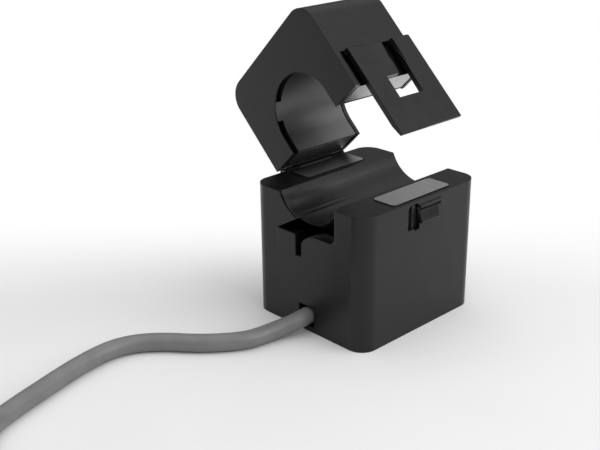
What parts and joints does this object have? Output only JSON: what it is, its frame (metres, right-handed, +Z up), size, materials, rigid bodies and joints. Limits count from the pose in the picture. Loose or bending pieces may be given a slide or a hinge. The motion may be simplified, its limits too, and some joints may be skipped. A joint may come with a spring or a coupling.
{
  "type": "split core current sensor",
  "caption": "Hinged split core current sensor for an energy meter, lid open, with snap latch, two steel core halves and a grey lead wound in a coil.",
  "frame": {"origin": "centre of the base's bottom face", "axes": "+X across the conductor hole from the hinge to the latch, +Y along the conductor away from the end where the lead comes out, +Z up from the base to the lid"},
  "size_m": [0.0625, 0.1547, 0.0613],
  "materials": {
    "housing_black": "moulded black plastic with a soft gloss",
    "core_steel": "ground steel",
    "liner_steel": "dull lacquered sheet steel",
    "pad_rubber": "matte rubber",
    "bobbin_plastic": "matte natural plastic",
    "copper": "enamelled copper wire",
    "tape": "thin yellow tape",
    "tin": "tinned metal",
    "board_green": "lacquered board",
    "resistor_tan": "lacquered ceramic",
    "diode_black": "matte moulded",
    "core_insulation": "smooth insulation",
    "bright_steel": "bright steel",
    "sheath_grey": "smooth grey sheath",
    "tie_black": "matte black"
  },
  "bodies": {
    "base": {"base_housing": "housing_black", "bottom_cover": "housing_black", "base_core": "core_steel", "core_pads": "pad_rubber", "base_bobbin": "bobbin_plastic", "secondary_winding": "copper", "winding_tape": "tape", "winding_leads": "copper", "solder_terminals": "tin", "circuit_board": "board_green", "burden_resistor": "resistor_tan", "surge_diode": "diode_black", "lead_cores": "core_insulation", "cable_clamp": "housing_black", "clamp_screws": "bright_steel", "hinge_pin": "bright_steel", "cable_sheath": "sheath_grey", "cable_coil": "sheath_grey", "cable_tail": "sheath_grey", "cable_tie": "tie_black", "end_boot": "tie_black", "end_cores": "core_insulation", "end_ferrules": "tin"},
    "lid": {"lid_cover": "housing_black", "lid_liner": "liner_steel", "core_springs": "bright_steel"},
    "upper_core": {"lid_core": "core_steel"},
    "latch": {"latch_plate": "housing_black"}
  },
  "joints": [
    {"name": "lid_hinge", "type": "hinge", "parent": "base", "child": "lid", "pos_m": [-0.01545, 0, 0.0268], "axis": [0, -1, 0], "range_deg": [-45.3, 45]},
    {"name": "latch_flex", "type": "hinge", "parent": "lid", "child": "latch", "pos_m": [0.0013, 0, 0.0551], "axis": [0, -1, 0], "range_deg": [0, 6], "stiffness_Nm_per_rad": 0.1},
    {"name": "core_float", "type": "slide", "parent": "lid", "child": "upper_core", "axis": [-0.7108, 0, 0.7034], "range_m": [0, 0.0004], "stiffness_N_per_m": 3000, "springref_m": -0.001, "deforming": ["core_springs"]}
  ]
}
